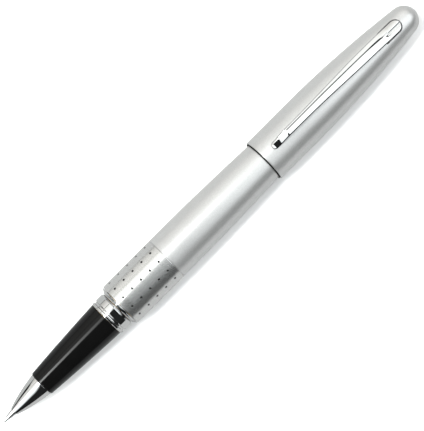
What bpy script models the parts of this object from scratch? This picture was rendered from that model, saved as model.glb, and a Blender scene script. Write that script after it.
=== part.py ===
"""A capped rollerball pen with the cap posted on the tail of its barrel.

The pen lies along X with the writing tip towards -X and the clip up, and rests on Z = 0.
Stations are millimetres along the axis from the tip; radii are millimetres from the axis.
"""

import math

import bmesh
import bpy

MM = 0.001
SIDES = 28  # facets round the large turned pieces, few enough for a flat the pen rests on
SMALL_SIDES = 24  # facets round the refill and the threads

BARREL_R = 6.5  # greatest radius of the barrel
BARREL_TOP = 60.0  # where the bare barrel begins, behind the dotted band
BARREL_CURVE = 5.9e-4  # how fast the barrel narrows towards its tail
BARREL_END = 125.3
BAND_START = 42.83
BAND_END = 59.9
SPIGOT_R = 5.95  # the barrel's neck under the dotted band

CAP_MOUTH = 96.1
CAP_R = 6.5
CAP_STRAIGHT_END = 109.4
CAP_CURVE = 1.55e-3
CAP_DOME = 149.1  # where the curved side meets the round end
CAP_WALL = 0.35
LIP_R = 5.86  # inside of the inner cap where it shows at the mouth

GRIP_START = 13.9
GRIP_END = 37.65
THREAD_PITCH = 1.2
THREAD_DEPTH = 0.4
THREAD_ROOT_R = 4.3
THREAD_GAP = 0.12
REFILL_R = 3.05
REFILL_END = 109.4
BALL_R = 0.35

CLIP_THICKNESS = 0.55
CLIP_PIVOT = 144.7
SLOT_FRONT = 140.15
SLOT_HALF_WIDTH = 2.02
SLOT_ROUND = 144.95  # centre of the slot's round rear end


def barrel_radius(x):
    return BARREL_R - BARREL_CURVE * (x - BARREL_TOP) ** 2


def cap_radius(x):
    return CAP_R - CAP_CURVE * max(0.0, x - CAP_STRAIGHT_END) ** 2


DOME_SLOPE = -2 * CAP_CURVE * (CAP_DOME - CAP_STRAIGHT_END)
DOME_CENTRE = CAP_DOME + cap_radius(CAP_DOME) * DOME_SLOPE
DOME_R = cap_radius(CAP_DOME) * math.hypot(1, DOME_SLOPE)
LENGTH = DOME_CENTRE + DOME_R
AXIS_Z = BARREL_R  # a facet, not an edge, faces down


def along(start, end, steps):
    return [start + (end - start) * i / steps for i in range(steps + 1)]


def at(x, y=0.0, z=0.0):
    """The place in metres of a point given by station and by offsets from the axis."""
    return ((x - LENGTH / 2) * MM, y * MM, (z + AXIS_Z) * MM)


def material(name, colour, roughness, metallic=0.0):
    made = bpy.data.materials.new(name)
    made.use_nodes = True
    shader = made.node_tree.nodes["Principled BSDF"]
    shader.inputs["Base Color"].default_value = (*colour, 1)
    shader.inputs["Roughness"].default_value = roughness
    shader.inputs["Metallic"].default_value = metallic
    made.diffuse_color = (*colour, 1)
    made.roughness = roughness
    made.metallic = metallic
    return made


def place(name, shape, origin, look, sharp=32):
    """Makes an object of a shape built in millimetres from `origin`, which lies on its joint's axis."""
    bmesh.ops.recalc_face_normals(shape, faces=shape.faces)
    if shape.calc_volume(signed=True) < 0:
        bmesh.ops.reverse_faces(shape, faces=shape.faces)
    bmesh.ops.scale(shape, verts=shape.verts, vec=(MM, MM, MM))
    mesh = bpy.data.meshes.new(name)
    shape.to_mesh(mesh)
    shape.free()
    for face in mesh.polygons:
        face.use_smooth = True
    mesh.set_sharp_from_angle(angle=math.radians(sharp))
    mesh.materials.append(look)
    node = bpy.data.objects.new(name, mesh)
    node.location = origin
    bpy.context.scene.collection.objects.link(node)
    return node


def turned(name, profile, look, sides=SIDES, station=0.0, thread=()):
    """Spins a profile of (station, radius) points about the axis, with its radii at the facets' middles.

    A profile that starts and ends on the axis is solid; any other is closed into a ring.
    `thread` lists (station, radius, ridge, rise) for points that carry a helical ridge: `ridge` is
    the share of the thread's depth that follows the helix, and `rise` the share added all round.
    """
    shape = bmesh.new()
    half = math.pi / sides
    corners = [
        shape.verts.new((x - station, r * math.sin(half), r * math.cos(half)))
        for x, r in profile
    ]
    edges = [shape.edges.new(pair) for pair in zip(corners, corners[1:])]
    if profile[0][1] > 0:
        edges.append(shape.edges.new((corners[-1], corners[0])))
    bmesh.ops.spin(
        shape,
        geom=corners + edges,
        cent=(0, 0, 0),
        axis=(1, 0, 0),
        angle=2 * math.pi,
        steps=sides,
        use_merge=True,
    )
    bmesh.ops.remove_doubles(shape, verts=shape.verts, dist=1e-4)
    cut_thread(shape, thread, station)
    bmesh.ops.scale(shape, verts=shape.verts, vec=(1, 1 / math.cos(half), 1 / math.cos(half)))
    return place(name, shape, at(station), look)


def cut_thread(shape, thread, station):
    """Raises a right-handed helical ridge on the rings of vertices that `thread` names."""
    rings = {round(x, 3): (r, ridge, rise) for x, r, ridge, rise in thread}
    for vert in shape.verts:
        x = vert.co.x + station
        ring = rings.get(round(x, 3))
        radius = math.hypot(vert.co.y, vert.co.z)
        if ring is None or abs(radius - ring[0]) > 0.01:
            continue
        turn = math.atan2(vert.co.z, vert.co.y)
        crest = 0.5 + 0.5 * math.cos(2 * math.pi * x / THREAD_PITCH - turn)
        grown = 1 + THREAD_DEPTH * (ring[1] * crest + ring[2]) / radius
        vert.co.y *= grown
        vert.co.z *= grown


def box(name, x0, x1, half_width, z0, z1, look=None):
    shape = bmesh.new()
    bmesh.ops.create_cube(shape, size=1)
    for vert in shape.verts:
        vert.co.x = (x0 if vert.co.x < 0 else x1) - LENGTH / 2
        vert.co.y *= 2 * half_width
        vert.co.z = z0 if vert.co.z < 0 else z1
    return place(name, shape, at(LENGTH / 2), look)


def boolean(node, tool, operation):
    """Joins or cuts a node with a helper that stays out of the finished pen."""
    tool.hide_render = True
    tool.display_type = "WIRE"
    change = node.modifiers.new(tool.name, "BOOLEAN")
    change.operation = operation
    change.solver = "EXACT"
    change.object = tool


def slot_prism(name, margin, z0, z1):
    """The outline of the clip's root with `margin` round it, as an upright prism."""
    shape = bmesh.new()
    wide = SLOT_HALF_WIDTH + margin
    outline = [(SLOT_FRONT - margin, -wide)]
    for i in range(13):
        angle = -math.pi / 2 + math.pi * i / 12
        outline.append((SLOT_ROUND + wide * math.cos(angle), wide * math.sin(angle)))
    outline.append((SLOT_FRONT - margin, wide))
    face = shape.faces.new([shape.verts.new((x - LENGTH / 2, y, z0)) for x, y in outline])
    pulled = bmesh.ops.extrude_face_region(shape, geom=[face])
    raised = [item for item in pulled["geom"] if isinstance(item, bmesh.types.BMVert)]
    bmesh.ops.translate(shape, verts=raised, vec=(0, 0, z1 - z0))
    return place(name, shape, at(LENGTH / 2), None)


def between(table, x):
    """Reads a table of (station, value) rows, smoothly between them."""
    for (x0, v0), (x1, v1) in zip(table, table[1:]):
        if x <= x1:
            share = max(0.0, (x - x0) / (x1 - x0))
            return v0 + (v1 - v0) * share * share * (3 - 2 * share)
    return table[-1][1]


def clear_scene():
    for node in list(bpy.data.objects):
        bpy.data.objects.remove(node, do_unlink=True)


clear_scene()

SATIN_SILVER = material("satin_silver_lacquer", (0.62, 0.62, 0.62), 0.32, 0.9)
BAND_METAL = material("bright_silver_band", (0.72, 0.72, 0.71), 0.24, 1.0)
CHROME = material("chrome", (0.8, 0.8, 0.8), 0.07, 1.0)
BLACK_GLOSS = material("black_gloss", (0.012, 0.012, 0.013), 0.12)
BRASS = material("brass", (0.68, 0.5, 0.22), 0.32, 1.0)
BLACK_PLASTIC = material("black_plastic", (0.02, 0.02, 0.02), 0.5)
GREY_PLASTIC = material("grey_plastic", (0.3, 0.3, 0.31), 0.5)
REFILL_STEEL = material("refill_steel", (0.6, 0.6, 0.61), 0.3, 1.0)
FIBRE = material("inked_fibre", (0.02, 0.02, 0.05), 0.9)
SPRING_STEEL = material("spring_steel", (0.5, 0.5, 0.5), 0.35, 1.0)
CARBIDE = material("carbide", (0.35, 0.35, 0.36), 0.2, 1.0)

# The refill: ball, point, feed, adapter, tube, reservoir and plug.
ball = bmesh.new()
bmesh.ops.create_uvsphere(ball, u_segments=16, v_segments=10, radius=BALL_R)
for vert in ball.verts:
    vert.co = (vert.co.z, vert.co.x, vert.co.y)
place("writing_ball", ball, at(BALL_R), CARBIDE)

turned(
    "point_holder",
    [
        (0.22, 0.335), (0.22, 0.385), (0.95, 0.46), (1.5, 0.60), (3.24, 0.93), (3.63, 0.97),
        (13.26, 0.97), (13.26, 0.45), (3.14, 0.45), (2.6, 0.16), (0.95, 0.16), (0.74, 0.37),
        (0.36, 0.37),
    ],
    REFILL_STEEL,
    SMALL_SIDES,
)
turned("feed_rod", [(3.43, 0), (3.43, 0.38), (26.97, 0.38), (26.97, 0)], FIBRE, 12)
turned(
    "tip_adapter",
    [
        (9.43, 1.02), (9.43, 1.3), (11.2, 1.92), (18.58, 1.92), (20.06, 2.95), (20.26, REFILL_R),
        (21.15, REFILL_R), (21.15, 2.68), (25.59, 2.68), (25.59, 0.46), (13.36, 0.46), (13.36, 1.02),
    ],
    BLACK_PLASTIC,
    SMALL_SIDES,
)
turned(
    "refill_tube",
    [(21.21, 2.76), (21.21, REFILL_R), (REFILL_END, REFILL_R), (REFILL_END, 2.76)],
    REFILL_STEEL,
    SMALL_SIDES,
)
turned(
    "ink_reservoir",
    [(27.27, 0), (27.27, 0.46), (25.69, 0.46), (25.69, 2.66), (105.58, 2.66), (105.58, 0)],
    FIBRE,
    SMALL_SIDES,
)
turned(
    "refill_plug",
    [
        (105.68, 0.4), (105.68, 2.68), (REFILL_END + 0.06, 2.68), (REFILL_END + 0.06, REFILL_R),
        (REFILL_END + 0.4, REFILL_R), (REFILL_END + 0.6, 2.85), (REFILL_END + 0.6, 0.4),
    ],
    BLACK_PLASTIC,
    SMALL_SIDES,
)

# The front section: nose cone, black grip, threaded core and snap ring.
cone = [(x, 1.17 + 0.33 * (x - 3.78) - 0.0105 * (x - 3.78) ** 2) for x in along(3.83, 13.8, 7)]
turned(
    "nose_cone",
    [(3.78, 1.05), (3.78, 1.12)] + cone
    + [
        (13.86, 3.42), (13.86, 2.97), (18.19, 2.97), (18.19, 2.12), (10.41, 2.12), (8.44, 1.72),
        (5.89, 1.28), (4.32, 1.05),
    ],
    CHROME,
    SIDES,
)
grip_side = []
for x in along(GRIP_START + 0.42, GRIP_END - 0.1, 6):
    share = (x - GRIP_START) / (GRIP_END - GRIP_START)
    grip_side.append((x, 3.66 + 1.5 * share + 0.4 * share * (1 - share)))
turned(
    "grip_shell",
    [(GRIP_START, 3.02), (GRIP_START, 3.4), (GRIP_START + 0.12, 3.56)] + grip_side
    + [(GRIP_END, 5.1), (GRIP_END, 4.3), (18.53, 3.36), (18.39, 3.02)],
    BLACK_GLOSS,
)
male_rows = along(43.4, 50.0, 33)
male = [(x, THREAD_ROOT_R) for x in male_rows]
turned(
    "section_core",
    [
        (27.56, 3.25), (27.56, 3.72), (37.55, 4.2), (37.71, 4.2), (37.71, 4.74), (41.72, 4.74),
        (41.72, THREAD_ROOT_R),
    ]
    + male
    + [(50.35, 4.1), (50.35, 3.25)],
    BRASS,
    SMALL_SIDES,
    thread=[
        (x, THREAD_ROOT_R, min(1.0, (x - 43.4) / 0.6, (50.0 - x) / 0.6), 0.0) for x in male_rows
    ],
)
turned(
    "snap_ring",
    [
        (37.73, 4.8), (37.73, 5.16), (37.9, 5.31), (38.29, 5.31), (38.46, 5.1), (38.54, 5.04),
        (38.99, 5.04), (39.12, 5.26), (39.24, 5.34), (41.17, 5.34), (41.7, 5.02), (41.7, 4.8),
    ],
    CHROME,
)

# The barrel: front ring, threaded insert, dotted band, tube, tail plug and refill spring.
turned(
    "barrel_front_ring",
    [
        (41.83, 4.95), (41.83, 5.3), (42.01, 5.48), (42.61, 6.34), (42.71, 6.38), (42.79, 6.36),
        (42.79, 4.95),
    ],
    CHROME,
)
female_rows = along(43.8, 49.8, 30)
female = [(x, THREAD_ROOT_R + THREAD_GAP) for x in female_rows]
turned(
    "thread_insert",
    [(50.95, 4.85), (50.95, 5.48), (42.85, 5.48), (42.85, 4.85), (43.5, 4.85)] + female
    + [(50.05, 4.85)],
    BRASS,
    SMALL_SIDES,
    thread=[
        (x, THREAD_ROOT_R + THREAD_GAP, fade, 1.0 - fade)
        for x in female_rows
        for fade in [min(1.0, (x - 43.8) / 0.6, (49.8 - x) / 0.6)]
    ],
)
turned(
    "dotted_band",
    [
        (BAND_START, 6.0), (BAND_START, 6.38), (BAND_START + 0.12, 6.44), (BAND_END - 0.12, 6.5),
        (BAND_END, 6.44), (BAND_END, 6.0),
    ],
    BAND_METAL,
)
barrel_side = [(x, barrel_radius(x)) for x in [BARREL_TOP + 0.1, *along(67, 115, 6), 120.5, 125.1]]
turned(
    "barrel_tube",
    [
        (BAND_START, 5.55), (BAND_START, SPIGOT_R), (BARREL_TOP - 0.04, SPIGOT_R),
        (BARREL_TOP - 0.04, 6.43),
    ]
    + barrel_side
    + [
        (BARREL_END, 3.78), (BARREL_END, 3.1), (118.9, 3.1), (117.89, 3.6), (107.4, 4.4),
        (94.31, 5.05), (79.27, 5.55), (61.79, 5.7), (60.8, 5.2), (51.05, 5.2), (51.05, 5.55),
    ],
    SATIN_SILVER,
)
turned(
    "tail_plug",
    [
        (120.12, 0), (120.12, 2.9), (120.32, 3.04), (125.34, 3.04), (125.34, 3.76), (125.68, 3.64),
        (126.03, 3.2), (126.19, 2.5), (126.19, 0),
    ],
    SATIN_SILVER,
    SMALL_SIDES,
)
coil = bpy.data.curves.new("tail_spring", "CURVE")
coil.dimensions = "3D"
coil.bevel_depth = 0.24 * MM
coil.bevel_resolution = 1
coil.use_fill_caps = True
spline = coil.splines.new("POLY")
spline.points.add(60)
for i, point in enumerate(spline.points):
    turn = 2 * math.pi * i / 12
    place_x = 110.35 + 9.45 * i / 60
    point.co = ((place_x - 115) * MM, 2.1 * MM * math.cos(turn), 2.1 * MM * math.sin(turn), 1)
coil.materials.append(SPRING_STEEL)
spring = bpy.data.objects.new("tail_spring", coil)
spring.location = at(115)
bpy.context.scene.collection.objects.link(spring)

# The cap: shell, inner cap and the retainer that holds the clip's tang.
def round_end(radius, steps):
    """Points of the cap's round end, or of one inside it, from the side to near the axis."""
    slope = math.atan(-DOME_SLOPE)
    angles = along(slope, math.pi / 2, steps)[1:-1]
    return [(DOME_CENTRE + radius * math.sin(a), radius * math.cos(a)) for a in angles]


cap_stations = [CAP_STRAIGHT_END, 116, 122, 128, 134, 140, 145, CAP_DOME]
inner_stations = [CAP_STRAIGHT_END, 121, 129, 136, 143, CAP_DOME]
hollow = [(x, cap_radius(x) - CAP_WALL) for x in inner_stations]
hollow += round_end(DOME_R - CAP_WALL, 4) + [(DOME_CENTRE + DOME_R - CAP_WALL, 0)]
shell = [(x, cap_radius(x)) for x in cap_stations] + round_end(DOME_R, 7) + [(LENGTH, 0)]
mouth = [
    (CAP_MOUTH + 0.12, CAP_R - CAP_WALL), (CAP_MOUTH, CAP_R - CAP_WALL + 0.08),
    (CAP_MOUTH, CAP_R - 0.1), (CAP_MOUTH + 0.12, CAP_R),
]
cap_shell = turned("cap_shell", hollow[::-1] + mouth + shell, SATIN_SILVER)
boolean(cap_shell, slot_prism("slot_cutter", 0.0, 2.0, 9.0), "DIFFERENCE")

liner_stations = [CAP_STRAIGHT_END, 116, 122, 128, 135, 141.1]
liner_outside = [(x, cap_radius(x) - CAP_WALL - 0.07) for x in liner_stations]
liner_inside = [(x, cap_radius(x) - CAP_WALL - 0.62) for x in [141.1, 133, 125, 117, 111.7]]
turned(
    "inner_cap",
    [
        (110.1, 5.16), (109.75, LIP_R), (95.9, LIP_R), (95.8, LIP_R + 0.06),
        (95.8, CAP_R - CAP_WALL - 0.13), (95.86, CAP_R - CAP_WALL - 0.07),
    ]
    + liner_outside + liner_inside + [(111.0, 5.12)],
    BLACK_PLASTIC,
)

retainer_side = [(x, cap_radius(x) - CAP_WALL - 0.07) for x in [142.4, 145.4, CAP_DOME]]
retainer = turned(
    "clip_retainer",
    [(142.4, 0)] + retainer_side + round_end(DOME_R - CAP_WALL - 0.07, 4)[:1] + [(150.15, 0)],
    GREY_PLASTIC,
    SMALL_SIDES,
)
boolean(retainer, box("pad_cutter", 142.0, 151.0, 6.0, 3.1, 8.0), "DIFFERENCE")
boolean(retainer, box("tang_cutter", 143.8, 145.6, 1.5, 1.7, 6.0), "DIFFERENCE")

# The clip: a pressed strip whose root lies flush in the cap and whose tang is held inside it.
CLIP_HALF_WIDTH = [
    (100.4, 1.1), (102.12, 1.13), (111.0, 1.2), (119.0, 1.38), (126.45, 1.62), (130.0, 1.73),
    (137.1, 1.82), (144.93, 1.9),
]
CLIP_CLEARANCE = [
    (99.3, 1.75), (100.81, 0.95), (102.22, 0.6), (104.73, 1.15), (110.28, 1.75), (118.36, 1.85),
    (128.48, 1.6), (135.58, 1.2), (139.64, 0.7), (142.69, 0.12), (146.97, 0.12),
]
CLIP_CROWN = [(99.3, 9.0), (136.6, 9.0), (142.69, 4.6), (146.97, 4.2)]
CLIP_START, CLIP_STOP = 99.3, 146.85
START_ROUND, STOP_ROUND = 1.1, 1.9


def clip_half_width(x):
    wide = between(CLIP_HALF_WIDTH, x)
    start = CLIP_START + START_ROUND - x
    stop = x - CLIP_STOP + STOP_ROUND
    for reach, limit in ((start, START_ROUND), (stop, STOP_ROUND)):
        if reach > 0:
            wide *= math.sqrt(max(0.03, 1 - (reach / limit) ** 2))
    return wide


def clip_height(x):
    """Height of the clip's top line above the axis."""
    return cap_radius(x) + between(CLIP_CLEARANCE, x)


clip_stations = [CLIP_START, 99.45, 99.8, 100.4, 101.2, 102.25, 103.45, 105.25, *along(108.85, 136.85, 7)]
clip_stations += [139.6, 141.15, 142.7, 144.95, 145.95, 146.5, 146.75, CLIP_STOP]
pivot_z = cap_radius(CLIP_PIVOT) - 0.2
strip = bmesh.new()
rings = []
for x in clip_stations:
    wide = clip_half_width(x)
    crown = between(CLIP_CROWN, x)
    ring = []
    for share, drop in ((-1, 0.12), (-0.82, 0), (0, 0), (0.82, 0), (1, 0.12)):
        y = wide * share
        ring.append((y, clip_height(x) - y * y / (2 * crown) - drop))
    for share, drop in ((1, 0.12), (0.82, 0), (0, 0), (-0.82, 0), (-1, 0.12)):
        y = wide * share
        ring.append((y, clip_height(x) - CLIP_THICKNESS - y * y / (2 * crown) + drop))
    rings.append(
        [strip.verts.new((x - CLIP_PIVOT, y, z - pivot_z)) for y, z in ring]
    )
for ring, following in zip(rings, rings[1:]):
    for i in range(len(ring)):
        j = (i + 1) % len(ring)
        strip.faces.new((ring[i], ring[j], following[j], following[i]))
strip.faces.new(rings[0])
strip.faces.new(rings[-1][::-1])
clip = place("clip", strip, at(CLIP_PIVOT, z=pivot_z), CHROME)
tang = box("clip_tang", 144.1, 145.3, 1.2, 2.0, cap_radius(CLIP_PIVOT) - 0.2)
boolean(clip, tang, "UNION")
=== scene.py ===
"""Looks of the rollerball pen: fine pieces in place of the visible CAD solids, materials, studio.

Stations are millimetres along the pen from its tip, radii are millimetres from its axis, and
heights are millimetres above the axis.
"""

import functools
import math

import bmesh
import bpy
from mathutils import Matrix, Vector


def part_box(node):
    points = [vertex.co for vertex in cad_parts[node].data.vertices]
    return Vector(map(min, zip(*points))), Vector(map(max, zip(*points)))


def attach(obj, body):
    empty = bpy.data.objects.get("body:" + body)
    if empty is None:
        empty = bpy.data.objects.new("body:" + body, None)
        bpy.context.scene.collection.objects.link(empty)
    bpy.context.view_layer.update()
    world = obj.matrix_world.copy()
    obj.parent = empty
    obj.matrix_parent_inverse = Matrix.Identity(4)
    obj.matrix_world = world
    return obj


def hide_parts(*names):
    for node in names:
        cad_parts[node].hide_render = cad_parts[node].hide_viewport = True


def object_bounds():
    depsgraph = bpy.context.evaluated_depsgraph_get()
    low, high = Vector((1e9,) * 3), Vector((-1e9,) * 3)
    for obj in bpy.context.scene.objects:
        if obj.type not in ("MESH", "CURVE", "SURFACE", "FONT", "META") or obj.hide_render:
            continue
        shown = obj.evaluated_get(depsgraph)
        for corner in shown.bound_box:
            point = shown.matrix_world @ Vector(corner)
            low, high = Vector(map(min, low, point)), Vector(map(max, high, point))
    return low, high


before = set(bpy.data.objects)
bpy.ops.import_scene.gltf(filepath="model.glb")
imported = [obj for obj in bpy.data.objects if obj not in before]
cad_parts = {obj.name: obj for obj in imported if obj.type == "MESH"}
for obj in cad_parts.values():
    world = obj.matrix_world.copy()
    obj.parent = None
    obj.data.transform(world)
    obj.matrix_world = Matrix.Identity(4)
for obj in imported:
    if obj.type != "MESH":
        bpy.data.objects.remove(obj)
cad_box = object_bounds()

MM = 0.001
TIP_X = cad_box[0][0]
band_low, band_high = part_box("dotted_band")
AXIS_Z = (band_low.z + band_high.z) / 2
FINE = 160  # segments round the large turned pieces
ROLL = math.radians(7.0)  # how far the camera stands round from the clip, towards -Y


# ---------------------------------------------------------------- the pen's lines
BARREL_TOP, BARREL_FRONT, BARREL_END = 60.0, 59.94, 125.3
BAND_START, BAND_END = 42.83, 59.9
CAP_MOUTH, CAP_STRAIGHT_END, CAP_DOME = 96.1, 109.4, 149.1
CAP_R, CAP_CURVE, CAP_WALL, LIP_R = 6.5, 1.55e-3, 0.35, 5.86
BARREL_R, BARREL_CURVE = 6.5, 5.9e-4
SLOT_FRONT, SLOT_ROUND, SLOT_HALF_WIDTH = 140.15, 144.95, 2.02


def barrel_radius(x):
    return BARREL_R - BARREL_CURVE * (x - BARREL_TOP) ** 2


def cap_radius(x):
    return CAP_R - CAP_CURVE * max(0.0, x - CAP_STRAIGHT_END) ** 2


DOME_SLOPE = -2 * CAP_CURVE * (CAP_DOME - CAP_STRAIGHT_END)
DOME_CENTRE = CAP_DOME + cap_radius(CAP_DOME) * DOME_SLOPE
DOME_R = cap_radius(CAP_DOME) * math.hypot(1, DOME_SLOPE)
LENGTH = DOME_CENTRE + DOME_R


def cap_surface(x):
    """Radius of the cap's outside, round end included."""
    if x <= CAP_DOME:
        return cap_radius(x)
    return math.sqrt(max(0.0, DOME_R**2 - (x - DOME_CENTRE) ** 2))


def at(x, y=0.0, z=0.0):
    return Vector((TIP_X + x * MM, y * MM, AXIS_Z + z * MM))


def along(start, end, steps):
    return [start + (end - start) * i / steps for i in range(steps + 1)]


def smooth(edge0, edge1, x):
    t = min(1.0, max(0.0, (x - edge0) / (edge1 - edge0)))
    return t * t * (3 - 2 * t)


# ---------------------------------------------------------------- node helpers
class Nodes:
    """Short ways to add shader nodes to one tree."""

    def __init__(self, tree):
        self.tree = tree

    def add(self, kind, **values):
        node = self.tree.nodes.new(kind)
        for key, value in values.items():
            setattr(node, key, value)
        return node

    def link(self, source, target):
        self.tree.links.new(source, target)

    def feed(self, socket, value):
        if isinstance(value, bpy.types.NodeSocket):
            self.link(value, socket)
        else:
            socket.default_value = value

    def math(self, operation, a, b=0.0):
        node = self.add("ShaderNodeMath", operation=operation)
        self.feed(node.inputs[0], a)
        self.feed(node.inputs[1], b)
        return node.outputs[0]

    def total(self, *values):
        return functools.reduce(lambda a, b: self.math("ADD", a, b), values)

    def product(self, *values):
        return functools.reduce(lambda a, b: self.math("MULTIPLY", a, b), values)

    def without(self, share):
        return self.math("SUBTRACT", 1.0, share)

    def apart(self, value, centre):
        """How far a value is from a centre, either way."""
        return self.math("ABSOLUTE", self.math("SUBTRACT", value, centre))

    def vary(self, socket, middle, *swings):
        """Feeds a socket with `middle`, moved half of each amount down or up by its noise."""
        parts = [self.product(noise, amount) for noise, amount in swings]
        self.link(self.total(*parts, middle - sum(amount for _, amount in swings) / 2), socket)

    def step(self, x, low, high, start=0.0, end=1.0):
        """Smooth change from `start` to `end` as x goes from low to high."""
        node = self.add("ShaderNodeMapRange", interpolation_type="SMOOTHSTEP")
        self.feed(node.inputs["Value"], x)
        limits = {"From Min": low, "From Max": high, "To Min": start, "To Max": end}
        for name, value in limits.items():
            node.inputs[name].default_value = value
        return node.outputs["Result"]

    def position(self):
        return self.add("ShaderNodeTexCoord").outputs["Object"]

    def noise(self, scale, detail=2.0, stretch=(1, 1, 1), roughness=0.5):
        mapping = self.add("ShaderNodeMapping")
        self.link(self.position(), mapping.inputs["Vector"])
        mapping.inputs["Scale"].default_value = stretch
        node = self.add("ShaderNodeTexNoise")
        self.link(mapping.outputs["Vector"], node.inputs["Vector"])
        node.inputs["Scale"].default_value = scale
        node.inputs["Detail"].default_value = detail
        node.inputs["Roughness"].default_value = roughness
        return node.outputs["Fac"]

    def cells(self, scale):
        """A colour picked at random for each small cell."""
        node = self.add("ShaderNodeTexVoronoi")
        self.link(self.position(), node.inputs["Vector"])
        node.inputs["Scale"].default_value = scale
        return node.outputs["Color"]

    def mix(self, factor, a, b):
        node = self.add("ShaderNodeMix", data_type="RGBA")
        self.feed(node.inputs[0], factor)
        self.feed(node.inputs[6], a)
        self.feed(node.inputs[7], b)
        return node.outputs[2]

    def bump(self, height, strength, distance):
        node = self.add("ShaderNodeBump")
        self.link(height, node.inputs["Height"])
        node.inputs["Strength"].default_value = strength
        node.inputs["Distance"].default_value = distance
        return node.outputs["Normal"]


def finish_material(name, **fixed):
    """A material, its nodes and its shader, with these constant sockets set."""
    made = bpy.data.materials.new(name)
    made.use_nodes = True
    shader = made.node_tree.nodes["Principled BSDF"]
    for key, value in fixed.items():
        shader.inputs[key.replace("_", " ")].default_value = value
    return made, Nodes(made.node_tree), shader


def grey(value, warm=0.0):
    return (value * (1 + warm), value, value * (1 - warm), 1)


def share_of(colour, share, lift=0.0):
    """A colour with each of its parts scaled by `share` and raised by `lift`."""
    return tuple(part * share + lift for part in colour[:3]) + (1,)


def satin_lacquer(name, level, rough, flake):
    """Silver lacquer: tiny bright flakes under a satin surface."""
    made, n, shader = finish_material(name, Metallic=0.72, IOR=1.5)
    split = n.add("ShaderNodeSeparateColor")
    n.link(n.cells(9000), split.inputs["Color"])
    glint, tilt = split.outputs[0], split.outputs[1]
    broad = n.noise(300, 3.0)
    tone = n.total(n.product(glint, 0.20), n.product(broad, 0.04))
    n.link(n.mix(tone, grey(level - 0.05, 0.004), grey(level + 0.30)), shader.inputs["Base Color"])
    n.vary(shader.inputs["Roughness"], rough, (broad, 0.05))
    n.link(n.bump(tilt, flake, 0.02 * MM), shader.inputs["Normal"])
    return made


def brushed_metal(name, colour, rough, lines):
    """Metal with very fine lines running round the pen."""
    made, n, shader = finish_material(name, Metallic=0.93)
    line = n.noise(1.0, 2.0, stretch=(lines, 60, 60), roughness=0.6)
    broad = n.noise(400, 2.0)
    n.link(n.mix(line, share_of(colour, 0.9), colour), shader.inputs["Base Color"])
    n.vary(shader.inputs["Roughness"], rough, (line, 0.03), (broad, 0.01))
    n.link(n.bump(line, 0.04, 0.01 * MM), shader.inputs["Normal"])
    return made


def polished_chrome(name, level, rough):
    made, n, shader = finish_material(name, Metallic=1.0)
    haze = n.noise(500, 3.0)
    n.link(n.mix(haze, grey(level - 0.02), grey(level + 0.02)), shader.inputs["Base Color"])
    n.vary(shader.inputs["Roughness"], rough, (haze, 0.03))
    return made


def moulded_plastic(name, colour, rough, specular, grain, grain_scale):
    made, n, shader = finish_material(name, Metallic=0.0, IOR=1.5)
    shader.inputs["Specular IOR Level"].default_value = specular
    fine = n.noise(grain_scale, 2.0)
    broad = n.noise(250, 2.0)
    n.link(n.mix(broad, colour, share_of(colour, 1.25, 0.001)), shader.inputs["Base Color"])
    n.vary(shader.inputs["Roughness"], rough, (fine, 0.06))
    n.link(n.bump(fine, grain, 0.01 * MM), shader.inputs["Normal"])
    return made


def fibre_material(name):
    made, n, shader = finish_material(name, Metallic=0.0, Roughness=0.9)
    strand = n.noise(1.0, 3.0, stretch=(120, 5000, 5000))
    colour = n.mix(strand, (0.004, 0.004, 0.012, 1), (0.05, 0.05, 0.1, 1))
    n.link(colour, shader.inputs["Base Color"])
    n.link(n.bump(strand, 0.6, 0.05 * MM), shader.inputs["Normal"])
    return made


JET = grey(0.006)
SATIN = satin_lacquer("satin_silver_lacquer", 0.43, 0.33, 0.10)
BAND = brushed_metal("bright_silver_band", (0.52, 0.52, 0.515, 1), 0.24, 9000)
CHROME = polished_chrome("polished_chrome", 0.50, 0.04)
BLACK = moulded_plastic("black_gloss_resin", grey(0.002), 0.08, 0.13, 0.02, 1500)
DOT_BLACK = moulded_plastic("black_dot_enamel", JET, 0.35, 0.12, 0.05, 9000)
BRASS = brushed_metal("machined_brass", (0.68, 0.48, 0.2, 1), 0.26, 7000)
BLACK_PLASTIC = moulded_plastic("matt_black_plastic", JET, 0.5, 0.2, 0.2, 6000)
GREY_PLASTIC = moulded_plastic("matt_grey_plastic", (0.28, 0.28, 0.29, 1), 0.5, 0.4, 0.2, 6000)
STEEL = brushed_metal("drawn_steel", (0.62, 0.62, 0.63, 1), 0.2, 5000)
SPRING = brushed_metal("spring_wire", (0.5, 0.5, 0.5, 1), 0.3, 4000)
CARBIDE = polished_chrome("polished_carbide", 0.4, 0.12)
FIBRE = fibre_material("inked_fibre")


# ---------------------------------------------------------------- shapes
def piece(name, shape, look, body, slot, *nodes, sharp=30):
    """An object from a shape in metres, riding on `body` in place of these CAD nodes."""
    if shape.calc_volume(signed=True) < 0:
        bmesh.ops.reverse_faces(shape, faces=shape.faces)
    mesh = bpy.data.meshes.new(name)
    shape.to_mesh(mesh)
    shape.free()
    for face in mesh.polygons:
        face.use_smooth = True
    mesh.set_sharp_from_angle(angle=math.radians(sharp))
    mesh.materials.append(look)
    obj = bpy.data.objects.new(name, mesh)
    bpy.context.scene.collection.objects.link(obj)
    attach(obj, body)
    if nodes:
        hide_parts(*nodes)
    return obj


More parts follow.
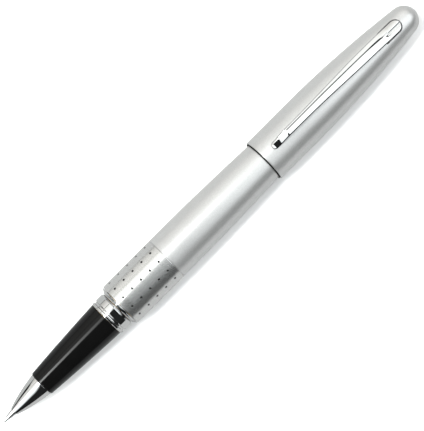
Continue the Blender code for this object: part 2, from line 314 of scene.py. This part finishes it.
def rounded(points, steps=5):
    """Points (x, r) with an arc of the given radius where a point has a third number."""
    closed = points[0][1] > 0
    count = len(points)
    path = []
    for i, point in enumerate(points):
        inside = closed or 0 < i < count - 1
        if len(point) < 3 or not inside:
            path.append((point[0], point[1]))
            continue
        here = Vector(point[:2])
        before = Vector(points[i - 1][:2]) - here
        after = Vector(points[(i + 1) % count][:2]) - here
        corner = before.angle(after)
        reach = min(point[2] / math.tan(corner / 2), 0.48 * before.length, 0.48 * after.length)
        radius = reach * math.tan(corner / 2)
        middle = here + (before.normalized() + after.normalized()).normalized() * (
            radius / math.sin(corner / 2)
        )
        start = here + before.normalized() * reach - middle
        turn = start.angle_signed(here + after.normalized() * reach - middle)
        for k in range(steps + 1):
            share = -turn * k / steps
            path.append(
                (
                    middle.x + start.x * math.cos(share) - start.y * math.sin(share),
                    middle.y + start.x * math.sin(share) + start.y * math.cos(share),
                )
            )
    return path


def spin(profile, segments=FINE, reshape=None):
    """A closed solid of revolution; `reshape(x, r, angle)` may return a new (x, r) for a point."""
    shape = bmesh.new()
    rings = []
    for x, r in profile:
        if r < 1e-6:
            rings.append([shape.verts.new(at(x))])
            continue
        ring = []
        for i in range(segments):
            angle = 2 * math.pi * i / segments
            px, pr = reshape(x, r, angle) if reshape else (x, r)
            ring.append(shape.verts.new(at(px, pr * math.sin(angle), pr * math.cos(angle))))
        rings.append(ring)
    pairs = list(zip(rings, rings[1:]))
    if profile[0][1] > 1e-6:
        pairs.append((rings[-1], rings[0]))
    for first, second in pairs:
        join_rings(shape, first, second)
    return shape


def join_rings(shape, first, second):
    count = max(len(first), len(second))
    for i in range(count):
        j = (i + 1) % count
        if len(first) == 1:
            shape.faces.new((first[0], second[i], second[j]))
        elif len(second) == 1:
            shape.faces.new((first[i], second[0], first[j]))
        else:
            shape.faces.new((first[i], second[i], second[j], first[j]))


def arc(centre_x, centre_r, radius, start, end, steps):
    """Points of an arc, with angles in degrees from the +X direction towards larger radius."""
    return [
        (
            centre_x + radius * math.cos(math.radians(a)),
            centre_r + radius * math.sin(math.radians(a)),
        )
        for a in along(start, end, steps)
    ]


# The refill's ball and point.
ball_profile = arc(0.35, 0.0, 0.35, 180, 0, 20)
ball_profile[0], ball_profile[-1] = (0.0, 0.0), (0.7, 0.0)
piece("ball", spin(ball_profile, 48), CARBIDE, "ball", "carbide", "writing_ball")
piece(
    "point",
    spin(
        rounded(
            [
                (0.24, 0.34), (0.22, 0.385, 0.02), (0.95, 0.47, 0.3), (1.5, 0.60, 0.4),
                (3.3, 0.945, 0.3), (3.66, 0.985), (13.26, 0.985), (13.26, 0.45), (3.14, 0.45),
                (2.6, 0.16), (0.95, 0.16), (0.74, 0.37), (0.36, 0.37),
            ]
        ),
        96,
    ),
    STEEL,
    "refill",
    "refill_steel",
    "point_holder",
)


# The front section.
def cone_radius(x):
    return 1.17 + 0.33 * (x - 3.78) - 0.0105 * (x - 3.78) ** 2


cone = [(x, cone_radius(x)) for x in along(3.95, 13.7, 24)]
piece(
    "nose",
    spin(
        rounded([(3.78, 1.05), (3.78, 1.17, 0.06)] + cone + [(13.86, 3.42, 0.05), (13.86, 2.97)], 4)
        + [(18.19, 2.97), (18.19, 2.12), (10.41, 2.12), (8.44, 1.72), (5.89, 1.28), (4.32, 1.05)],
        128,
    ),
    CHROME,
    "section",
    "chrome",
    "nose_cone",
)

GRIP_START, GRIP_END = 13.9, 37.65


def grip_radius(x):
    share = (x - GRIP_START) / (GRIP_END - GRIP_START)
    return 3.66 + 1.5 * share + 0.4 * share * (1 - share)


grip_side = [(x, grip_radius(x)) for x in along(GRIP_START + 0.5, GRIP_END - 0.14, 30)]
piece(
    "grip",
    spin(
        rounded(
            [(GRIP_START, 3.02), (GRIP_START, grip_radius(GRIP_START), 0.26)]
            + grip_side
            + [(GRIP_END, grip_radius(GRIP_END), 0.07), (GRIP_END, 4.3)]
            + [(18.53, 3.36), (18.39, 3.02)],
            6,
        )
    ),
    BLACK,
    "section",
    "black_gloss",
    "grip_shell",
)
piece(
    "ring",
    spin(
        rounded(
            [
                (37.7, 4.8), (37.7, 5.2, 0.05), (37.86, 5.33, 0.06), (38.36, 5.33, 0.08),
                (38.5, 5.06, 0.1), (39.0, 5.04, 0.12), (39.12, 5.3, 0.06), (39.24, 5.36, 0.08),
                (41.1, 5.36, 0.12), (41.7, 5.02, 0.1), (41.72, 4.8),
            ],
            5,
        )
    ),
    CHROME,
    "section",
    "chrome",
    "snap_ring",
)
piece(
    "front_ring",
    spin(
        rounded(
            [
                (41.83, 4.95), (41.83, 5.3, 0.05), (42.02, 5.46, 0.08), (42.3, 5.92, 0.1),
                (42.54, 6.3, 0.08), (42.66, 6.36, 0.04), (42.7, 6.32, 0.03), (42.7, 4.95),
            ],
            5,
        )
    ),
    CHROME,
    "barrel",
    "chrome",
    "barrel_front_ring",
)

# The threaded core of the front section, seen when it is unscrewed.
PITCH, THREAD_ROOT, THREAD_CREST = 1.2, 4.3, 4.68
THREAD_START, THREAD_END = 43.2, 50.1


def threaded(x, r, angle):
    """Raises the helical ridge on the core's threaded length, fading in and out at its ends."""
    if abs(r - THREAD_ROOT) > 1e-6 or not THREAD_START <= x <= THREAD_END:
        return x, r
    rise = smooth(THREAD_START, THREAD_START + 0.8, x)
    fade = rise * (1 - smooth(THREAD_END - 0.7, THREAD_END, x))
    phase = (x / PITCH + angle / (2 * math.pi) - 0.25) % 1.0
    crest = 1 - abs(2 * phase - 1)
    return x, THREAD_ROOT + (THREAD_CREST - THREAD_ROOT) * fade * smooth(0.25, 0.85, crest)


core_front = [(27.56, 3.25), (27.56, 3.72), (37.55, 4.2), (37.6, 4.74), (41.72, 4.74)]
core_side = [(x, THREAD_ROOT) for x in along(41.9, 50.15, 110)]
piece(
    "thread",
    spin(
        core_front + [(41.76, THREAD_ROOT)] + core_side + [(50.35, 4.12), (50.35, 3.25)],
        96,
        threaded,
    ),
    BRASS,
    "section",
    "brass",
    "section_core",
)

# The barrel: bare tube and tail plug.
side = [(x, barrel_radius(x)) for x in along(BARREL_TOP + 0.25, BARREL_END - 0.5, 48)]
piece(
    "barrel_tube_fine",
    spin(
        rounded(
            [(BAND_START, 5.55), (BAND_START, 5.95), (BARREL_FRONT, 5.95)]
            + [(BARREL_FRONT, barrel_radius(BARREL_TOP), 0.09)]
            + side
            + [
                (BARREL_END, barrel_radius(BARREL_END), 0.2), (BARREL_END, 3.1), (118.9, 3.1),
                (117.89, 3.6), (107.4, 4.4), (94.31, 5.05), (79.27, 5.55), (61.79, 5.7),
                (60.8, 5.2), (51.05, 5.2), (51.05, 5.55),
            ],
            5,
        )
    ),
    SATIN,
    "barrel",
    "satin_silver",
    "barrel_tube",
)
piece(
    "tail_button",
    spin(
        rounded(
            [
                (120.12, 0), (120.12, 2.9, 0.1), (120.4, 3.04), (125.34, 3.04),
                (125.34, 3.78, 0.05), (125.62, 3.68, 0.3), (126.0, 3.1, 0.5),
                (126.19, 2.2, 0.5), (126.19, 0),
            ],
            5,
        ),
        96,
    ),
    SATIN,
    "barrel",
    "satin_silver",
    "tail_plug",
)


def smooth_over(obj, radius_of, fall_of, first, last, match):
    """Exact normals on a turned piece's outside, so cuts and dents leave no mark around them.

    `fall_of` gives how fast the radius falls at a station, and `match` is how closely a face
    must already point the exact way, as a cosine, to be one of the outside's.
    """
    mesh = obj.data
    normals = [Vector(c.vector) for c in mesh.corner_normals]

    def outward(place):
        around = Vector((place.y, place.z)).normalized()
        return Vector((fall_of(place.x), *around)).normalized()

    for face in mesh.polygons:
        middle = (face.center - at(0)) / MM
        off = abs(math.hypot(middle.y, middle.z) - radius_of(middle.x))
        if not first < middle.x < last or off > 0.05 or face.normal.dot(outward(middle)) < match:
            continue
        for loop in face.loop_indices:
            place = (mesh.vertices[mesh.loops[loop].vertex_index].co - at(0)) / MM
            normals[loop] = outward(place)
    mesh.normals_split_custom_set(normals)


# The dotted band: one tile of mesh per dot, 12 round by 5 along.
DOT_ROWS, DOT_COLUMNS = 12, 5
DOT_R, DOT_DEPTH = 0.32, 0.035
DOT_FIRST, DOT_SPACING, DOT_PHASE = 44.83, 3.235, math.radians(0.6)
TILE_HALF = 1.3
ROUND_STEPS, LONG_STEPS = 12, 8
RIM = 1.12  # where the mesh turns round, as a share of the dot's radius
BAND_R, BAND_FLARE, BAND_FLARE_LENGTH, BAND_ROUND = 6.5, 0.06, 3.0, 0.13


def band_radius(x):
    return BAND_R - BAND_FLARE * (1 - smooth(BAND_START, BAND_START + BAND_FLARE_LENGTH, x))


def band_point(x, angle, sunk=0.0):
    r = band_radius(x) - sunk
    return at(x, r * math.sin(angle), r * math.cos(angle))


def tile_border(steps_x, steps_a):
    """Border of a tile in the unit square from -1 to 1, anticlockwise from its low corner."""
    low = [(-1 + 2 * i / steps_x, -1.0) for i in range(steps_x)]
    right = [(1.0, -1 + 2 * i / steps_a) for i in range(steps_a)]
    high = [(1 - 2 * i / steps_x, 1.0) for i in range(steps_x)]
    left = [(-1.0, 1 - 2 * i / steps_a) for i in range(steps_a)]
    return low + right + high + left


def dotted_band():
    shape = bmesh.new()
    half_angle = math.pi / DOT_ROWS
    border = tile_border(LONG_STEPS, ROUND_STEPS)
    for row in range(DOT_ROWS):
        for column in range(DOT_COLUMNS):
            x0 = DOT_FIRST + DOT_SPACING * column
            a0 = DOT_PHASE + 2 * half_angle * row
            loops = []
            # From the tile's edge to the dot's rim, then down its wall and across its floor.
            for share in (0.0, 0.3, 0.55, 0.75, 0.9):
                loop = []
                for u, v in border:
                    turn = math.atan2(v, u)
                    hx, ha = DOT_R * RIM * math.cos(turn), DOT_R * RIM * math.sin(turn)
                    x = (1 - share) * u * TILE_HALF + share * hx
                    angle = (1 - share) * v * half_angle + share * ha / BAND_R
                    loop.append(shape.verts.new(band_point(x0 + x, a0 + angle)))
                loops.append(loop)
            for radius, sunk in (
                (RIM, 0.0), (1.04, 0.002), (1.0, 0.008), (0.99, DOT_DEPTH), (0.5, DOT_DEPTH),
            ):
                loop = []
                for u, v in border:
                    turn = math.atan2(v, u)
                    x = DOT_R * radius * math.cos(turn)
                    angle = DOT_R * radius * math.sin(turn) / BAND_R
                    loop.append(shape.verts.new(band_point(x0 + x, a0 + angle, sunk)))
                loops.append(loop)
            for first, second in zip(loops, loops[1:]):
                join_rings(shape, first, second)
            join_rings(shape, loops[-1], [shape.verts.new(band_point(x0, a0, DOT_DEPTH))])
    # Plain strips between the columns, then the two ends and the bore.
    total = DOT_ROWS * ROUND_STEPS
    angles = [DOT_PHASE - half_angle + 2 * math.pi * i / total for i in range(total)]
    centres = [DOT_FIRST + DOT_SPACING * column for column in range(DOT_COLUMNS)]
    edges = [centre + turn * TILE_HALF for centre in centres for turn in (-1, 1)]
    low, high = band_radius(BAND_START) - BAND_ROUND, band_radius(BAND_END) - BAND_ROUND
    front = arc(BAND_START + BAND_ROUND, low, BAND_ROUND, 180, 90, 4)
    back = arc(BAND_END - BAND_ROUND, high, BAND_ROUND, 90, 0, 4)
    strips = [front + [(edges[0], band_radius(edges[0]))]]
    strips += [
        [(x, band_radius(x)) for x in along(edges[i], edges[i + 1], 2)]
        for i in range(1, len(edges) - 1, 2)
    ]
    strips.append(
        [(x, band_radius(x)) for x in along(edges[-1], BAND_END - 0.2, 3)]
        + back
        + [(BAND_END, 6.0), (BAND_START, 6.0), front[0]]
    )
    for strip in strips:
        rings = [
            [shape.verts.new(at(x, r * math.sin(a), r * math.cos(a))) for a in angles]
            for x, r in strip
        ]
        for first, second in zip(rings, rings[1:]):
            join_rings(shape, first, second)
    bmesh.ops.remove_doubles(shape, verts=shape.verts, dist=2e-6)
    bmesh.ops.recalc_face_normals(shape, faces=shape.faces)
    return shape


def band_dots():
    """The black enamel in the dots, slightly domed, as one piece of 60 small pads."""
    shape = bmesh.new()
    for row in range(DOT_ROWS):
        for column in range(DOT_COLUMNS):
            x0 = DOT_FIRST + DOT_SPACING * column
            a0 = DOT_PHASE + 2 * math.pi * row / DOT_ROWS
            loops = []
            for radius, sunk in ((0.97, 0.03), (0.97, 0.012), (0.85, 0.007), (0.5, 0.004)):
                loops.append(
                    [
                        shape.verts.new(
                            band_point(
                                x0 + DOT_R * radius * math.cos(math.pi * i / 12),
                                a0 + DOT_R * radius * math.sin(math.pi * i / 12) / BAND_R,
                                sunk,
                            )
                        )
                        for i in range(24)
                    ]
                )
            top = [shape.verts.new(band_point(x0, a0, 0.003))]
            bottom = [shape.verts.new(band_point(x0, a0, 0.03))]
            for first, second in zip([bottom] + loops, loops + [top]):
                join_rings(shape, first, second)
    bmesh.ops.recalc_face_normals(shape, faces=shape.faces)
    return shape


band = piece("band", dotted_band(), BAND, "barrel", "bright_silver", "dotted_band")


def band_fall(x):
    share = min(1.0, max(0.0, (x - BAND_START) / BAND_FLARE_LENGTH))
    return -BAND_FLARE * 6 * share * (1 - share) / BAND_FLARE_LENGTH


smooth_over(band, band_radius, band_fall, BAND_START + 0.3, BAND_END - 0.2, 0.999)
piece("band_dots", band_dots(), DOT_BLACK, "barrel", "black_plastic")


# ---------------------------------------------------------------- the cap
def cap_profile():
    outside = [(x, cap_radius(x)) for x in along(CAP_MOUTH + 0.4, CAP_DOME, 60)]
    slope = math.degrees(math.atan(-DOME_SLOPE))
    dome = arc(DOME_CENTRE, 0.0, DOME_R, 90 - slope, 0, 26)[1:-1]
    inner_dome = arc(DOME_CENTRE, 0.0, DOME_R - CAP_WALL, 0, 90 - slope, 10)[1:-1]
    inside = [(x, cap_radius(x) - CAP_WALL) for x in along(CAP_DOME, CAP_MOUTH + 0.3, 16)]
    mouth = [(CAP_MOUTH, CAP_R - CAP_WALL, 0.06), (CAP_MOUTH, CAP_R, 0.1)]
    return (
        [(DOME_CENTRE + DOME_R - CAP_WALL, 0.0)]
        + inner_dome
        + inside
        + mouth
        + outside
        + dome
        + [(LENGTH, 0.0)]
    )


def slot_prism(low, high):
    """The clip's slot, square at the front and round at the rear, between two heights."""
    shape = bmesh.new()
    outline = [(SLOT_FRONT, -SLOT_HALF_WIDTH)]
    outline += arc(SLOT_ROUND, 0.0, SLOT_HALF_WIDTH, -90, 90, 32)
    outline.append((SLOT_FRONT, SLOT_HALF_WIDTH))
    face = shape.faces.new([shape.verts.new(at(x, y, low)) for x, y in outline])
    pulled = bmesh.ops.extrude_face_region(shape, geom=[face])
    raised = [v for v in pulled["geom"] if isinstance(v, bmesh.types.BMVert)]
    bmesh.ops.translate(shape, verts=raised, vec=(0, 0, (high - low) * MM))
    bmesh.ops.recalc_face_normals(shape, faces=shape.faces)
    return shape


def cut(obj, tool_shape):
    """Cuts a helper's shape out of an object for good."""
    mesh = bpy.data.meshes.new("cutter")
    tool_shape.to_mesh(mesh)
    tool_shape.free()
    tool = bpy.data.objects.new("cutter", mesh)
    bpy.context.scene.collection.objects.link(tool)
    change = obj.modifiers.new("cut", "BOOLEAN")
    change.operation = "DIFFERENCE"
    change.solver = "EXACT"
    change.object = tool
    graph = bpy.context.evaluated_depsgraph_get()
    result = bpy.data.meshes.new_from_object(obj.evaluated_get(graph))
    obj.modifiers.clear()
    obj.data = result
    bpy.data.objects.remove(tool)


cap = piece(
    "cap", spin(rounded(cap_profile(), 5), 192), SATIN, "cap", "satin_silver", "cap_shell"
)
cut(cap, slot_prism(2.0, 9.0))


def cap_fall(x):
    """How fast the cap's radius falls at a station."""
    if x > CAP_DOME:
        return (x - DOME_CENTRE) / max(1e-6, cap_surface(x))
    return 2 * CAP_CURVE * max(0.0, x - CAP_STRAIGHT_END)


smooth_over(cap, cap_surface, cap_fall, CAP_MOUTH + 0.3, LENGTH, 0.95)

# The liner is the real inner cap. Where it runs forward past the cap's mouth, it is a thin black
# ring of painted shade for the dark gap at the mouth.
liner_front_and_mouth_shade = [(110.1, 5.16, 0.1), (109.75, LIP_R), (95.72, LIP_R, 0.04), (95.72, 6.12, 0.1)]
liner_out = [(x, cap_radius(x) - CAP_WALL - 0.07) for x in along(CAP_STRAIGHT_END, 141.1, 12)]
liner_in = [(x, cap_radius(x) - CAP_WALL - 0.62) for x in along(141.1, 111.7, 12)]
piece(
    "cap_liner_and_mouth_shade",
    spin(rounded(liner_front_and_mouth_shade + liner_out + liner_in + [(111.0, 5.12)], 4), FINE),
    BLACK_PLASTIC,
    "cap",
    "black_plastic",
    "inner_cap",
)


# ---------------------------------------------------------------- the clip
CLIP_START, CLIP_STOP = 99.3, 146.75
CLIP_THICKNESS = 0.55
START_ROUND, ROOT_ROUND = 1.1, 1.84
EDGE_WIDTH, BEVEL, TOP_ROUND, LOW_ROUND = 0.3, 0.2, 0.1, 0.12
# Tables of (station, value): half width, height of the top over the cap, radius across the top.
HALF_WIDTHS = [
    (99.3, 1.05), (102.15, 1.13), (111.0, 1.2), (119.0, 1.38), (126.45, 1.62), (130.0, 1.73),
    (137.05, 1.82), (141.85, 1.84), (146.75, 1.84),
]
CLEARANCES = [
    (99.3, 0.85), (99.7, 0.64), (99.9, 0.62), (101.9, 0.76), (102.1, 0.8), (104.5, 1.64),
    (104.75, 1.68), (110.3, 1.73), (118.36, 1.85),
    (128.48, 1.6), (135.58, 1.2), (139.64, 0.7), (142.69, 0.12), (146.97, 0.12),
]
CROWNS = [(99.3, 9.0), (138.0, 9.0), (141.3, 6.5), (143.2, 3.0), (146.97, 3.0)]


def between(table, x):
    """Reads a table of (station, value) rows along a smooth curve that doesn't overshoot them."""
    slopes = [(b[1] - a[1]) / (b[0] - a[0]) for a, b in zip(table, table[1:])]
    for i, slope in enumerate(slopes):
        if x <= table[i + 1][0] or i == len(slopes) - 1:
            break
    before = slopes[i - 1] if i else slope
    after = slopes[i + 1] if i + 1 < len(slopes) else slope
    start = 2 * before * slope / (before + slope) if before * slope > 0 else 0.0
    end = 2 * after * slope / (after + slope) if after * slope > 0 else 0.0
    width = table[i + 1][0] - table[i][0]
    t = min(1.0, max(0.0, (x - table[i][0]) / width))
    rise = slope * width
    return (
        table[i][1]
        + start * width * t
        + (3 * rise - (2 * start + end) * width) * t**2
        + ((start + end) * width - 2 * rise) * t**3
    )


def clip_half_width(x):
    wide = between(HALF_WIDTHS, x)
    ends = ((CLIP_START + START_ROUND - x, START_ROUND), (x - CLIP_STOP + ROOT_ROUND, ROOT_ROUND))
    for reach, limit in ends:
        if reach > 0:
            wide *= math.sqrt(max(0.02, 1 - (reach / limit) ** 2))
    return wide


def clip_edge():
    """The edge as (outwards, height) from the flat top: a small round, a bevel, another round."""
    edge = [
        (TOP_ROUND * math.cos(math.radians(a)), TOP_ROUND * math.sin(math.radians(a)) - TOP_ROUND)
        for a in (75, 60, 47)
    ]
    out, height = edge[-1][0] + BEVEL, edge[-1][1] - BEVEL
    edge.append((out, height))
    for a in (30, 15, 0):
        further = LOW_ROUND * (math.cos(math.radians(a)) - 0.73)
        lower = LOW_ROUND * (math.sin(math.radians(a)) - 0.68)
        edge.append((out + further, height + lower))
    return edge + [(0.24, 0.04 - CLIP_THICKNESS)]


def clip_section(x):
    """The clip's outline at a station, as (y, height above its top line) going round it."""
    wide = clip_half_width(x)
    crown = between(CROWNS, x)
    scale = min(1.0, wide / 0.9)
    flat = wide - EDGE_WIDTH * scale
    # The root is folded along its middle, and the free end is turned a little to -Y.
    crease = 0.26 * smooth(140.4, 143.6, x)
    spoon = math.tan(math.radians(10)) * smooth(99.5, 99.9, x) * (1 - smooth(101.9, 102.6, x))
    inner = min(0.36, flat / 2)
    top = []
    for y in along(-flat, -inner, 8)[:-1] + along(-inner, inner, 12) + along(inner, flat, 8)[1:]:
        tilt = spoon * y * (1 - max(0.0, y / flat) ** 4)
        fold = crease * smooth(-0.18, 0.18, -y) * (1 - smooth(0.18, 1.2, -y))
        top.append((y, tilt - y * y / (2 * crown) - fold))
    right = [(flat + y * scale, top[-1][1] + h * scale) for y, h in clip_edge()]
    left = [(-flat - y * scale, top[0][1] + h * scale) for y, h in clip_edge()]
    low = min(0.0, top[0][1]) - CLIP_THICKNESS
    under = [(y, low - y * y / (2 * crown)) for y in along(wide - 0.18, -wide + 0.18, 8)]
    return top + right + under + left[::-1]


def clip_shape():
    shape = bmesh.new()
    stations = (
        [CLIP_START + START_ROUND * (1 - math.cos(math.radians(a))) for a in range(4, 90, 8)]
        + along(100.45, 106.85, 26)
        + along(107.45, 136.85, 40)
        + along(137.45, 144.85, 24)
        + [CLIP_STOP - ROOT_ROUND * (1 - math.sin(math.radians(a))) for a in range(8, 88, 8)]
    )
    rings = []
    for x in stations:
        lift = cap_surface(x) + between(CLEARANCES, x)
        rings.append([shape.verts.new(at(x, y, lift + h)) for y, h in clip_section(x)])
    for first, second in zip(rings, rings[1:]):
        join_rings(shape, first, second)
    for ring in (rings[0], rings[-1]):
        centre = sum((v.co for v in ring), Vector()) / len(ring)
        join_rings(shape, [shape.verts.new(centre)], ring)
    bmesh.ops.recalc_face_normals(shape, faces=shape.faces)
    return shape


piece("clip_strip", clip_shape(), CHROME, "clip", "chrome", "clip", sharp=50)

# ---------------------------------------------------------------- CAD nodes that stay
for look, names in (
    (BRASS, ["thread_insert"]),
    (SPRING, ["tail_spring"]),
    (FIBRE, ["feed_rod", "ink_reservoir"]),
    (BLACK_PLASTIC, ["tip_adapter", "refill_plug"]),
    (STEEL, ["refill_tube"]),
    (GREY_PLASTIC, ["clip_retainer"]),
):
    for name in names:
        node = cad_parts[name]
        for index in range(len(node.material_slots)):
            node.material_slots[index].material = look


# ---------------------------------------------------------------- floor
FLOOR_HALF = 4.0
FLOOR_GAP = 0.02 * MM  # between the pen and the floor


def floor():
    """White paper, tilted about the pen's axis as much as the camera stands round from the clip."""
    shape = bmesh.new()
    down = -(AXIS_Z + FLOOR_GAP)
    corners = [(FLOOR_HALF * x, FLOOR_HALF * y) for x, y in ((-1, -1), (1, -1), (1, 1), (-1, 1))]
    tilted = [
        (x, y * math.cos(ROLL) - down * math.sin(ROLL), y * math.sin(ROLL) + down * math.cos(ROLL))
        for x, y in corners
    ]
    shape.faces.new([shape.verts.new((x, y, z + AXIS_Z)) for x, y, z in tilted])
    mesh = bpy.data.meshes.new("floor")
    shape.to_mesh(mesh)
    shape.free()
    made, n, shader = finish_material("white_paper", Roughness=0.9)
    shader.inputs["Specular IOR Level"].default_value = 0.1
    paper = n.mix(n.noise(60, 3.0), grey(0.86), grey(0.88))
    # Painted shade: mirrors see the paper darker than it is, standing for the shaded paper next to
    # the pen.
    mirrored = n.add("ShaderNodeLightPath").outputs["Is Glossy Ray"]
    n.link(n.mix(mirrored, paper, grey(0.42)), shader.inputs["Base Color"])
    mesh.materials.append(made)
    obj = bpy.data.objects.new("floor", mesh)
    bpy.context.scene.collection.objects.link(obj)


floor()


# ---------------------------------------------------------------- studio
HIGH_LINE, LOW_LINE, STRIP_SIDE = -49.0, -20.5, -18.0  # where thin dark lines and a strip stand
STRIP_LIMIT, STRIP_FADE = 30.0, 4.2
HORIZON, BELOW_LEVEL, LEAST_LEVEL = 90.0, 0.9, 0.03
WARM, COOL = (1.0, 0.995, 0.95, 1), (0.94, 0.987, 1.0, 1)
MATT_WARM, MATT_COOL = (1.0, 0.995, 0.97, 1), (0.975, 0.995, 1.0, 1)
WHITE = (1, 1, 1, 1)


def mirror_light(n, side, lean):
    """Brightness that mirrors see, by two angles in degrees.

    `side` goes round the pen's axis, 0 towards the camera and negative towards +Y, and `lean`
    goes along the pen, positive towards +X.
    """
    steepness = n.math("ABSOLUTE", lean)
    # The white side starts near the horizon and ends at an edge that depends on the lean.
    start = n.math("SUBTRACT", side, n.step(lean, -24, -15, 20, 0))
    edge = n.total(
        n.step(lean, 1.8, 7, -19, 46),
        n.step(lean, -26, -15, 28, 0),
        n.step(lean, -45, -25, 16, 0),
        n.step(lean, -8, -5, 6, 0),
    )
    near_camera = n.product(n.step(side, -25, -5, 0, 0.6), n.step(lean, 1, 5))
    high_line = n.product(
        n.step(n.apart(side, HIGH_LINE), 1.0, 2.2, 0.9, 0), n.step(lean, 10, 15, 1, 0)
    )
    spread = n.step(lean, 24, 38, 1.0, 1.9)
    low_line = n.product(
        n.step(n.math("DIVIDE", n.apart(side, LOW_LINE), spread), 1.3, 2.3, 1, 0),
        n.step(lean, 3, 5),
    )
    white = n.product(
        n.step(start, -90, -84),
        n.step(n.math("SUBTRACT", side, edge), -12, 12, 1, 0),
        n.total(near_camera, n.step(side, -100, -15, 0.8, 2.08)),
        n.without(high_line),
        n.without(low_line),
        n.step(steepness, 50, 80, 1, 0.25),
    )
    # A narrow strip that is far brighter towards the tip, for the line along the grip.
    fade = n.math("EXPONENT", n.math("DIVIDE", lean, -STRIP_FADE))
    strip = n.product(
        n.step(n.apart(side, STRIP_SIDE), 5.0, 9.0, 1, 0),
        n.math("MINIMUM", fade, STRIP_LIMIT),
        n.step(steepness, 35, 60, 1, 0),
    )
    below = n.product(n.math("GREATER_THAN", n.math("ABSOLUTE", side), HORIZON), BELOW_LEVEL)
    return n.total(white, strip, LEAST_LEVEL, below)


def studio():
    """Soft white light from the +Y side and above, a bright strip in it, and a dark -Y side.

    Matt surfaces get a plainer light with more fill than mirrors see, and the camera sees white.
    """
    world = bpy.data.worlds.new("studio")
    bpy.context.scene.world = world
    world.use_nodes = True
    world.node_tree.nodes.clear()
    n = Nodes(world.node_tree)
    where = n.add("ShaderNodeSeparateXYZ")
    n.link(n.add("ShaderNodeTexCoord").outputs["Generated"], where.inputs[0])
    x, y, z = where.outputs
    degrees = math.degrees(1.0)
    turned = n.product(n.math("ARCTAN2", n.product(y, -1.0), z), degrees)
    side = n.math("SUBTRACT", turned, math.degrees(ROLL))
    lean = n.product(n.math("ARCSINE", x), degrees)

    def background(level, colour):
        node = n.add("ShaderNodeBackground")
        n.feed(node.inputs["Color"], colour)
        n.feed(node.inputs["Strength"], level)
        return node.outputs[0]

    def choose(test, no, yes):
        node = n.add("ShaderNodeMixShader")
        n.link(test, node.inputs[0])
        n.link(no, node.inputs[1])
        n.link(yes, node.inputs[2])
        return node.outputs[0]

    cooler = n.step(side, -60, 20)
    mirrored = background(mirror_light(n, side, lean), n.mix(cooler, WARM, COOL))
    matt = background(n.step(side, 0, 20, 1.32, 0.86), n.mix(cooler, MATT_WARM, MATT_COOL))
    path = n.add("ShaderNodeLightPath")
    light = choose(path.outputs["Is Diffuse Ray"], mirrored, matt)
    light = choose(path.outputs["Is Camera Ray"], light, background(1.0, WHITE))
    n.link(light, n.add("ShaderNodeOutputWorld").inputs["Surface"])


studio()


# ---------------------------------------------------------------- camera
FOOT, DISTANCE = 53.0, 430.0  # the station the camera stands over, and its height in mm
AIM, AIM_SIDE = 76.25, 0.48  # the station it looks at, and how far from the axis
LENS, SENSOR = 137.16, 36.0
TWIST = math.radians(-0.09)


def camera():
    up_from_pen = Vector((0, -math.sin(ROLL), math.cos(ROLL)))
    across = Vector((0, -math.cos(ROLL), -math.sin(ROLL)))
    eye = at(FOOT) + up_from_pen * DISTANCE * MM
    target = at(AIM) + across * AIM_SIDE * MM
    back = (eye - target).normalized()
    pen = (Vector((1, 0, 0)) - back * back.x).normalized()
    left = back.cross(pen)
    up = (pen + left).normalized()
    right = (pen - left).normalized()
    turn = Matrix.Rotation(TWIST, 3, back)
    axes = Matrix((turn @ right, turn @ up, back)).transposed()
    data = bpy.data.cameras.new("camera")
    data.lens = LENS
    data.sensor_width = SENSOR
    data.clip_start, data.clip_end = 0.01, 20.0
    obj = bpy.data.objects.new("camera", data)
    obj.matrix_world = Matrix.Translation(eye) @ axes.to_4x4()
    bpy.context.scene.collection.objects.link(obj)
    bpy.context.scene.camera = obj


camera()
bpy.context.scene.view_settings.view_transform = "Standard"
